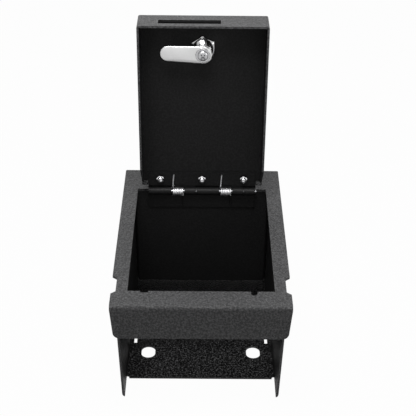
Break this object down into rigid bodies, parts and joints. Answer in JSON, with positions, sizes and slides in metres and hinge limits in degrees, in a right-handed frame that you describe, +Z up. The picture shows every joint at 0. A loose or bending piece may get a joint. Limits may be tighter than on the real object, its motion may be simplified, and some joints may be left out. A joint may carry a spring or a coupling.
{
  "type": "console safe",
  "caption": "Sheet-steel vault for a vehicle's centre console, with a sprung lid on a long hinge and a cam lock.",
  "frame": {"origin": "middle of the floor plate's underside", "axes": "+Z up, +Y towards the hinge at the back, +X to the right seen from the apron's side"},
  "size_m": [0.159, 0.2553, 0.2965],
  "materials": {
    "powder_coat": "fine textured black powder coat",
    "leaf_paint": "smooth black paint",
    "pin_steel": "drawn steel",
    "spring_zinc": "bright spring wire",
    "bolt_zinc": "bright zinc plate",
    "lock_chrome": "bright chrome plate",
    "cam_steel": "dull zinc plate"
  },
  "bodies": {
    "vault": {"top_frame": "powder_coat", "body_shell": "powder_coat", "back_wall": "powder_coat", "lock_strike": "powder_coat", "hinge_body_leaf": "leaf_paint", "hinge_pin": "pin_steel", "spring_left": "spring_zinc", "spring_right": "spring_zinc"},
    "lid": {"lid_panel": "powder_coat", "hinge_lid_leaf": "leaf_paint", "hinge_bolt_left": "bolt_zinc", "hinge_nut_left": "bolt_zinc", "hinge_bolt_middle": "bolt_zinc", "hinge_nut_middle": "bolt_zinc", "hinge_bolt_right": "bolt_zinc", "hinge_nut_right": "bolt_zinc", "lock_housing": "lock_chrome", "lock_nut": "lock_chrome"},
    "lock_core": {"lock_plug": "lock_chrome", "lock_cam": "cam_steel", "cam_washer": "cam_steel", "cam_screw": "bolt_zinc"}
  },
  "joints": [
    {"name": "lid_hinge", "type": "hinge", "parent": "vault", "child": "lid", "pos_m": [0, 0.073, 0.112], "axis": [1, 0, 0], "range_deg": [0, 92], "stiffness_Nm_per_rad": 0.5, "springref_deg": -20.05, "deforming": ["spring_left", "spring_right"]},
    {"name": "lock_turn", "type": "hinge", "parent": "lid", "child": "lock_core", "pos_m": [0, 0.07828, 0.26311], "axis": [0, 0.9994, -0.0349], "range_deg": [-2, 88]}
  ]
}
